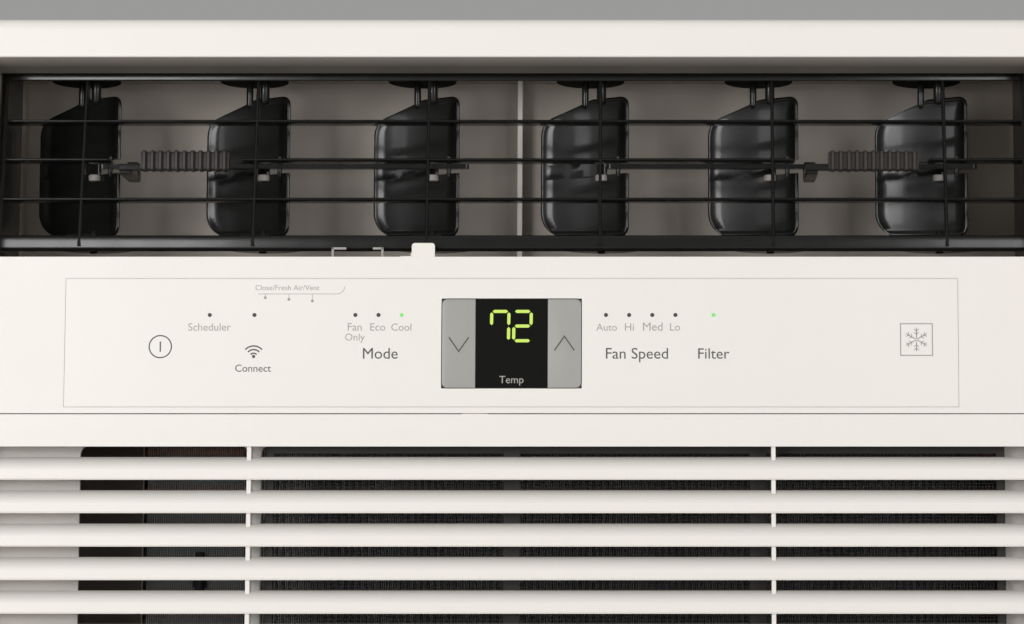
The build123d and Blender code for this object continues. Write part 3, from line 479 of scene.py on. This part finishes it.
def vane(name, x):
    """A bowed paddle with a raised rim, its disc and pins, and the slit for the link bar."""
    forward = (math.sin(VANE_ANGLE), -math.cos(VANE_ANGLE))
    across = (math.cos(VANE_ANGLE), math.sin(VANE_ANGLE))

    def place(u, w, z):
        return (x + u * forward[0] + w * across[0], VANE_Y + u * forward[1] + w * across[1], z)

    heights = [VANE_LOW + step for step in (0, 0.35, 0.9, 2.1, 2.9, 4, 5.5, 7.5, 10, 12.5, 15, 22, 29, 34)]
    heights += [SLIT_LOW - 0.9, SLIT_LOW - 0.01, SLIT_LOW + 0.01, TILT_Z, SLIT_TOP - 0.01, SLIT_TOP + 0.01]
    heights += [SLIT_TOP + 0.9, 400.0, 407.0, 413.4, 416.5, 419.4, 421.9, 423.8, 424.8, 427.0, 429.0]
    heights += [VANE_TOP - step for step in (3.8, 2.9, 2.1, 0.9, 0.35, 0)]
    steps = (0, 0.35, 0.9, 2.1, 2.9)
    shape = Shape()
    sides = []
    for side in (-1, 1):
        rows = []
        for z in heights:
            rear, front = vane_rear_edge(z), vane_front_edge(z)
            width = front - rear
            scale = min(1.0, width / 8.0)
            us = [rear + s * scale for s in steps]
            us += [rear + 2.9 * scale + (width - 5.8 * scale) * t / 9 for t in range(1, 9)]
            us += [front - s * scale for s in reversed(steps)]
            row = []
            for u in us:
                inward = min(u - rear, front - u, z - VANE_LOW, VANE_TOP - z)
                half = vane_half_thickness(max(inward, 0.0))
                bow = 2.0 * (1 - ((u + 12) / 31.6) ** 2)
                sag = 3.4 * (u - VANE_REAR) / (VANE_FRONT - VANE_REAR) * max(0.0, 1 - (z - VANE_LOW) / 25)
                row.append(place(u, bow + side * half, z - sag))
            rows.append(row)
        sides.append(rows)
    back, face = sides
    shape.loft(back, caps=False, closed=False)
    shape.loft(face, caps=False, closed=False)
    shape.loft([rim(back), rim(face)], caps=False)
    crank = place(CRANK_REACH, 0, 0)
    shape.turned([(1.5, 383.5), (1.5, 396.0)], crank[0], crank[1], 12)
    disc = place(-8.0, 0, 0)
    edge = [(20.6, 444.8), (21.3, 445.1), (21.5, 445.5), (21.3, 446.0), (20.6, 446.3)]
    plate = Shape().turned(edge, disc[0], disc[1], 48)
    piece(name + "_disc", plate, DISC_BLACK, name)
    rear_post = place(-12.4, 1.4, 0)
    shape.turned([(0.6, 428.7), (1.6, 429.3), (2.2, 431.0), (2.2, 445.2)], rear_post[0], rear_post[1], 16)
    shape.turned([(2.0, 430.5), (3.0, 432.0), (3.0, 445.2)], x, VANE_Y, 20)
    shape.turned([(2.5, 445.8), (2.5, 450.1), (2.1, 450.5)], x, VANE_Y, 20)
    # The clip ring is a collar on the axis; its pale grey against the black vane is a painted highlight
    # where the collar glints.
    clip_painted_highlight = Shape().turned([(3.4, 381.4), (3.9, 381.9), (3.9, 384.9), (3.4, 385.4)], x, VANE_Y, 20)
    piece(name + "_clip", clip_painted_highlight, STOP_GREY_AND_CLIP_HIGHLIGHT, name)
    foot_pin = [(2.1, 335.7), (2.5, 336.2), (2.5, 342.6), (3.0, 342.7), (3.0, 347.0), (2.0, 350.0)]
    shape.turned(foot_pin, x, VANE_Y, 20)
    piece(name + "_paddle", shape, MATERIALS["black_plastic"], name, [name], 40.0)


def grip(bank):
    """A slide with eleven round ribs, and the stem that reaches back to the bar."""
    left, right = GRIPS[bank]
    shape = Shape()
    rings = []
    ribs = 11
    step = (right - left) / ribs
    shares = ((0.0, 0.0), (0.2, 0.0), (0.27, 0.75), (0.36, 1.0), (0.64, 1.0), (0.73, 0.75), (0.8, 0.0))
    for i in range(ribs):
        for share, out in shares:
            inset = 0.5 * (1 - out)
            x = left + step * (i + share)
            section = rounded(GRIP_FRONT - 2.5 * out, GRIP_BACK, GRIP_LOW + inset, GRIP_TOP - inset, 1.4)
            rings.append([(x, y, z) for y, z in section])
    end = rounded(GRIP_FRONT, GRIP_BACK, GRIP_LOW + 0.5, GRIP_TOP - 0.5, 1.4)
    rings.append([(right, y, z) for y, z in end])
    shape.loft(rings)
    bar_front = VANE_Y - CRANK_REACH * math.cos(VANE_ANGLE) - 2.2
    stem_low = 379.5
    stem = Shape()
    stem.box(left - 14, left + 2, GRIP_FRONT + 1, GRIP_BACK - 1, 381.4, 385.4, 0.8)
    stem.box(left - 14, left - 6, -306, -276, stem_low, 385.2, 0.8)
    stem.box(left - 14, left - 6, -278, bar_front, stem_low, LINK_TOP, 0.8)
    name = f"grip_{bank}"
    piece(name + "_ribbed", shape, MATERIALS["grip_plastic"], f"link_{bank}", [name], 50.0)
    piece(name + "_stem", stem, MATERIALS["black_plastic"], f"link_{bank}")


def outlet_lip():
    """The lip's skin, grey with painted shade, that hangs over the louvre frame."""
    front = FRONT / MM
    back = front + 20.2
    profile = [(front + 1.2, 448.7), (back, 442.35), (back, 444.8), (front + 3.0, 452.1)]
    shape = Shape().bar_x(profile, -317.9, 317.9)
    piece("outlet_lip_painted_shade", shape, LIP_PAINTED_SHADE, "root")


def vent_marks():
    """Two stops of the vent guide behind the lever, and the step beside its tab."""
    stops = Shape()
    for upright, x0, x1 in ((-110.0, -110.0, -101.0), (-79.8, -84.9, -78.3)):
        stops.box(upright, upright + 1.5, -318.4, -317.6, 317.5, 332.6, 0.35)
        stops.box(x0, x1, -318.4, -317.6, 331.1, 332.6, 0.35)
    piece("vent_stops", stops, STOP_GREY_AND_CLIP_HIGHLIGHT, "root")
    step = Shape()
    step.box(-68.2, -60.0, -321.0, -319.2, 302.0, 326.9, 0.3)
    step.box(-61.8, -59.0, -321.0, -319.2, 302.0, 329.0, 0.3)
    piece("vent_lever_step", step, MATERIALS["white_plastic"], "vent_lever")


# ---------------------------------------------------------------- control band


def flat_shape(shape, outline, y=None):
    """A thin plate from (x, z) points, for print."""
    y = FACE / MM if y is None else y
    back = [(x, y + 0.05, z) for x, z in outline]
    face = [(x, y, z) for x, z in outline]
    shape.loft([back, face])


def stroke(points, width):
    """The outline of a line of even width through (x, z) points."""
    left, right = [], []
    for i, (x, z) in enumerate(points):
        x0, z0 = points[max(i - 1, 0)]
        x1, z1 = points[min(i + 1, len(points) - 1)]
        length = math.hypot(x1 - x0, z1 - z0)
        nx, nz = -(z1 - z0) / length, (x1 - x0) / length
        bend = 1.0
        if 0 < i < len(points) - 1:
            ax, az = x - x0, z - z0
            cosine = abs((ax * (x1 - x0) + az * (z1 - z0)) / (math.hypot(ax, az) * length))
            bend = 1 / max(cosine, 0.4)
        left.append((x + nx * width / 2 * bend, z + nz * width / 2 * bend))
        right.append((x - nx * width / 2 * bend, z - nz * width / 2 * bend))
    return left + right[::-1]


def arc(x, z, radius, start, stop, steps=24):
    turns = [math.radians(start + (stop - start) * i / steps) for i in range(steps + 1)]
    return [(x + radius * math.cos(t), z + radius * math.sin(t)) for t in turns]


def ring_shape(shape, x, z, radius, width, y=None):
    """A printed circle as two half rings."""
    for start in (0, 180):
        flat_shape(shape, stroke(arc(x, z, radius, start, start + 180), width), y)


def legend(name, text, x0, x1, foot, material, y=None, body="root"):
    """A word set in the plain built-in face, scaled to lie between x0 and x1."""
    y = FACE / MM if y is None else y
    curve = bpy.data.curves.new(name + "_text", "FONT")
    curve.body = text
    curve.extrude = 0.0
    curve.resolution_u = 4
    holder = bpy.data.objects.new(name + "_text", curve)
    bpy.context.scene.collection.objects.link(holder)
    bpy.context.view_layer.update()
    mesh = bpy.data.meshes.new_from_object(holder.evaluated_get(bpy.context.evaluated_depsgraph_get()))
    bpy.data.objects.remove(holder)
    low = min(v.co.x for v in mesh.vertices)
    high = max(v.co.x for v in mesh.vertices)
    scale = (x1 - x0) / (high - low)
    for v in mesh.vertices:
        px = x0 + (v.co.x - low) * scale
        pz = foot + v.co.y * scale
        v.co = Vector((px, y, pz)) * MM
    mesh.name = name
    mesh.materials.clear()
    mesh.materials.append(material.material)
    made = bpy.data.objects.new(name, mesh)
    bpy.context.scene.collection.objects.link(made)
    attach(made, body)
    return made


LEGENDS = (
    ("legend_scheduler", "Scheduler", -195.4, -169.7, 281.0, "pale"),
    ("legend_connect", "Connect", -166.7, -145.1, 256.1, "dark"),
    ("legend_vent", "Close/Fresh Air/Vent", -155.1, -116.4, 305.6, "pale"),
    ("legend_fan", "Fan", -99.0, -90.6, 281.0, "pale"),
    ("legend_only", "Only", -100.6, -88.7, 275.0, "pale"),
    ("legend_eco", "Eco", -85.4, -76.4, 281.0, "pale"),
    ("legend_cool", "Cool", -72.7, -60.6, 281.0, "pale"),
    ("legend_mode", "Mode", -89.7, -68.7, 264.0, "dark"),
    ("legend_auto", "Auto", 51.2, 63.6, 281.0, "pale"),
    ("legend_hi", "Hi", 68.5, 73.9, 281.0, "pale"),
    ("legend_med", "Med", 79.4, 91.2, 281.0, "pale"),
    ("legend_lo", "Lo", 95.7, 101.8, 281.0, "pale"),
    ("legend_fan_speed", "Fan Speed", 57.0, 94.5, 264.0, "dark"),
    ("legend_filter", "Filter", 112.7, 131.5, 264.0, "dark"),
)
LAMPS = (-182.5, -155.5, -94.5, -80.5, -66.5, 57.0, 71.0, 85.0, 99.0, 122.0)
LAMPS_ON = (-66.5, 122.0)
LAMP_Z = 290.5


def printed_marks():
    """Everything printed on the overlay film."""
    for name, text, x0, x1, foot, tone in LEGENDS:
        legend(name, text, x0, x1, foot, PRINT_DARK if tone == "dark" else PRINT_PALE)
    dark = Shape()
    ring_shape(dark, -212.1, 271.3, 6.7, 0.75)
    flat_shape(dark, stroke([(-212.1, 268.2), (-212.1, 274.4)], 0.8))
    for i in range(3):
        flat_shape(dark, stroke(arc(-155.7, 264.9, 2.4 + 2.2 * i, 42, 138), 0.85))
    flat_shape(dark, arc(-155.7, 265.3, 1.0, 0, 345, 14))
    piece("printed_symbols", dark, PRINT_DARK, "root")
    pale = Shape()
    sweep = [(-153.3, 303.3)] + arc(-106.0, 308.3, 5.0, -90, -5, 10)
    flat_shape(pale, stroke(sweep, 0.35))
    for x, z in ((-149.1, 301.0), (-134.8, 300.0), (-120.6, 299.0)):
        flat_shape(pale, stroke([(x, 303.3), (x, z)], 0.3))
        flat_shape(pale, arc(x, z, 0.9, 0, 345, 14))
    for side in square_outline(-269.8, 269.8, 234.9, 312.6, 0.22):
        flat_shape(pale, side)
    emblem(pale)
    piece("printed_lines", pale, PRINT_PALE, "root")


def square_outline(x0, x1, z0, z1, width):
    """A rectangle outline as four strokes that meet at the corners."""
    half = width / 2
    return [
        [(x0 - half, z0 - half), (x1 + half, z0 - half), (x1 - half, z0 + half), (x0 + half, z0 + half)],
        [(x1 + half, z0 - half), (x1 + half, z1 + half), (x1 - half, z1 - half), (x1 - half, z0 + half)],
        [(x1 + half, z1 + half), (x0 - half, z1 + half), (x0 + half, z1 - half), (x1 - half, z1 - half)],
        [(x0 - half, z1 + half), (x0 - half, z0 - half), (x0 + half, z0 + half), (x0 + half, z1 - half)],
    ]


def emblem(shape):
    """A plain square with a snow crystal, in place of a certification mark."""
    x, z, half = 244.6, 275.6, 9.6
    for side in square_outline(x - half, x + half, z - half, z + half, 0.7):
        flat_shape(shape, side)
    for i in range(6):
        turn = math.radians(60 * i + 30)
        ex, ez = math.cos(turn), math.sin(turn)
        flat_shape(shape, stroke([(x + ex * 0.5, z + ez * 0.5), (x + ex * 7.2, z + ez * 7.2)], 0.6))
        for reach in (3.2, 5.2):
            for bend in (-50, 50):
                t = turn + math.radians(bend)
                rx, rz = x + ex * reach, z + ez * reach
                tip = (rx + math.cos(t) * 2.0, rz + math.sin(t) * 2.0)
                flat_shape(shape, stroke([(rx, rz), tip], 0.45))


def lamps():
    for lit_now, name, material in ((False, "lamps_off", LAMP_OFF), (True, "lamps_on", LAMP_GLOW)):
        shape = Shape()
        for x in LAMPS:
            if (x in LAMPS_ON) == lit_now:
                flat_shape(shape, arc(x, LAMP_Z, 1.25, 0, 345, 18))
        piece(name, shape, material, "root")


def display():
    """Seven-segment figures behind the window's front, and the word under them."""
    glass_front = FRONT / MM + 0.2
    segments = {"7": "abcf", "2": "abged"}
    shape = Shape()
    for figure, x0 in (("7", -12.3), ("2", 1.2)):
        width, foot, top = 10.4, 274.9, 292.7
        middle = (foot + top) / 2
        lean = math.tan(math.radians(0.8))
        gap, half = 0.55, 0.95
        lines = {
            "a": ((0, top), (width, top)),
            "b": ((width, top), (width, middle)),
            "c": ((width, middle), (width, foot)),
            "d": ((0, foot), (width, foot)),
            "e": ((0, middle), (0, foot)),
            "f": ((0, top), (0, middle)),
            "g": ((0, middle), (width, middle)),
        }
        for key in segments[figure]:
            (ax, az), (bx, bz) = lines[key]
            length = math.hypot(bx - ax, bz - az)
            dx, dz = (bx - ax) / length, (bz - az) / length
            near, far = gap + half, length - gap - half
            steps = ((gap, 0), (near, half), (far, half), (length - gap, 0), (far, -half), (near, -half))
            outline = [(ax + dx * u - dz * v, az + dz * u + dx * v) for u, v in steps]
            skewed = [(x0 + px + (pz - foot) * lean, pz) for px, pz in outline]
            flat_shape(shape, skewed, glass_front - 0.06)
    piece("digit_segments", shape, DIGIT_GLOW, "root")
    legend("legend_temp", "Temp", -7.3, 7.3, 249.2, PRINT_PALE, glass_front - 0.02)


def temperature_keys():
    """Rounded grey caps with their arrows, and the dark line round the group."""
    y = FRONT / MM
    inner, outer = 21.85, 42.1
    low, high = 246.3, 300.2
    middle_x, middle_z = 31.97, 273.3
    for node, side in (("temp_down_key", -1), ("temp_up_key", 1)):
        shape = Shape()
        rings = []
        for depth, draw_in in ((2.2, 0.0), (0.45, 0.0), (0.15, 0.12), (0.05, 0.4)):
            outline = key_outline(inner + draw_in, outer - draw_in, low + draw_in, high - draw_in, 3.2)
            rings.append([(side * x, y + depth, z) for x, z in outline])
        shape.loft(rings)
        shape.loft([stem_ring(side * middle_x, depth, middle_z, 2.0) for depth in (y + 2.0, -315.0)])
        piece(node + "_cap", shape, MATERIALS["key_grey"], node, [node])
        arrow = Shape()
        tip = 268.4 if side < 0 else 277.6
        wing = 277.0 if side < 0 else 269.0
        points = [(side * 31.9 - 6.0, wing), (side * 31.9, tip), (side * 31.9 + 6.0, wing)]
        flat_shape(arrow, stroke(points, 0.8), y)
        piece(node + "_arrow", arrow, PRINT_DARK, node)
    line = Shape()
    outside = rounded(-42.5, 42.5, 245.9, 300.6, 3.4, 6)
    inside = rounded(-42.15, 42.15, 246.25, 300.25, 3.1, 6)
    face = FACE / MM
    loops = ((outside, face), (inside, face), (inside, face + 0.3), (outside, face + 0.3), (outside, face))
    line.loft([[(x, depth, z) for x, z in loop] for loop, depth in loops], caps=False)
    piece("display_outline", line, LAMP_OFF, "root")


def key_outline(inner, outer, low, high, radius):
    """A key outline with two round outer corners."""
    lower = arc(outer - radius, low + radius, radius, -90, 0, 6)
    upper = arc(outer - radius, high - radius, radius, 0, 90, 6)
    return [(inner, low)] + lower + upper + [(inner, high)]


def stem_ring(x, y, z, radius):
    turns = [2 * math.pi * i / 16 for i in range(16)]
    return [(x + radius * math.cos(t), y, z + radius * math.sin(t)) for t in turns]


def blank_off_skin():
    """A foam skin on the front of the plate beside the coil, its dark tone painted shade for the shadowed
    bay.
    """
    shape = Shape().box(-299.5, -236.5, -230.6, -230.05, 26.5, 225.5, 0.2)
    piece("blank_off_foam_painted_shade", shape, FOAM_PAINTED_SHADE, "root")


def latch_tongue():
    """The tip of the latch that shows in the seam above the grille door."""
    shape = Shape()
    shape.box(-30.0, -14.0, FRONT / MM + 0.5, FRONT / MM + 3.0, 230.0, 230.75, 0.2)
    piece("latch_tongue", shape, MATERIALS["white_plastic"], "grille_door")


# ---------------------------------------------------------------- coils and filter


def fin_stack(name, node, pitch):
    """Thin plates with a shallow fold, standing where the CAD block stands."""
    thickness, rows = 0.3, 6
    low, high = (corner_point / MM for corner_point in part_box(node))
    count = int((high.x - low.x) / pitch)
    shape = Shape()
    for i in range(count + 1):
        x = low.x + (high.x - low.x - thickness) * i / count
        rings = []
        for j in range(rows + 1):
            y = low.y + (high.y - low.y) * j / rows
            fold = 0.25 * (-1) ** j if 0 < j < rows else 0.0
            x0, x1 = x + fold, x + thickness + fold
            rings.append([(x0, y, low.z), (x1, y, low.z), (x1, y, high.z), (x0, y, high.z)])
        shape.loft(rings)
    piece(name, shape, MATERIALS["coil_fin"], "root", [node])


def filter_weave():
    """A net of fine threads in each pane of the filter frame."""
    low, high = (corner_point / MM for corner_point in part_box("filter_mesh"))
    pitch, thread = 2.0, 0.42
    y = (low.y + high.y) / 2
    shape = Shape()
    columns = int((high.x - low.x) / pitch)
    for i in range(columns + 1):
        x = low.x + (high.x - low.x - thread) * i / columns
        shape.plain_box(x, x + thread, y - 0.3, y + 0.1, low.z, high.z)
    lines = int((high.z - low.z) / pitch)
    for i in range(lines + 1):
        z = low.z + (high.z - low.z - thread) * i / lines
        shape.plain_box(low.x, high.x, y - 0.1, y + 0.3, z, z + thread)
    piece("filter_weave", shape, MATERIALS["filter_mesh"], "grille_door", ["filter_mesh"])


# ---------------------------------------------------------------- studio


def studio():
    scene = bpy.context.scene
    scene.view_settings.view_transform = "Standard"
    floor = bpy.data.meshes.new("floor")
    floor.from_pydata([(-6, -6, 0), (6, -6, 0), (6, 6, 0), (-6, 6, 0)], [], [(0, 1, 2, 3)])
    pale = moulded("floor_paper", linear(232, 231, 229), 0.8, grain=40.0)
    floor.materials.append(pale.material)
    ground = bpy.data.objects.new("floor", floor)
    scene.collection.objects.link(ground)
    world = bpy.data.worlds.new("studio")
    world.use_nodes = True
    world.node_tree.nodes["Background"].inputs["Color"].default_value = linear(250, 250, 249)
    world.node_tree.nodes["Background"].inputs["Strength"].default_value = 0.34
    scene.world = world
    lights = (
        ("key_light", (-1.3, -2.4, 0.5), (0, -0.3, 0.3), 0.9, 26.0),
        ("fill_light", (1.4, -2.2, 0.5), (0, -0.3, 0.3), 0.9, 15.0),
        ("side_light", (-1.9, -1.55, 0.82), (0, -0.27, 0.4), 0.18, 0.7),
        ("top_light", (0.0, -0.9, 2.2), (0, -0.3, 0.3), 1.6, 2.5),
    )
    for name, place, target, size, power in lights:
        data = bpy.data.lights.new(name, "AREA")
        data.size = size
        data.energy = power
        lamp = bpy.data.objects.new(name, data)
        lamp.location = place
        lamp.rotation_euler = (Vector(target) - Vector(place)).to_track_quat("-Z", "Y").to_euler()
        scene.collection.objects.link(lamp)


def camera():
    """A long lens a little right of centre and low, looking up, its picture shifted back to the left."""
    data = bpy.data.cameras.new("camera")
    data.sensor_width = 36.0
    data.lens = 109.1
    data.shift_x = -0.137
    view = bpy.data.objects.new("camera", data)
    view.location = (0.085, FRONT - 1.866, 0.0962)
    view.rotation_euler = (math.radians(90 + 6.0), 0.0, 0.0)
    bpy.context.scene.collection.objects.link(view)
    bpy.context.scene.camera = view


paint_cad_nodes()
louvre_frame()
for index, axis_x in enumerate(AXES):
    bank = "left" if index < 3 else "right"
    vane(f"vane_{bank}_{index % 3 + 1}", axis_x)
grip("left")
grip("right")
outlet_lip()
vent_marks()
printed_marks()
lamps()
display()
temperature_keys()
latch_tongue()
blank_off_skin()
fin_stack("evaporator_fin_stack", "evaporator_fins", 1.41)
fin_stack("condenser_fin_stack", "condenser_fins", 1.6)
filter_weave()
studio()
camera()
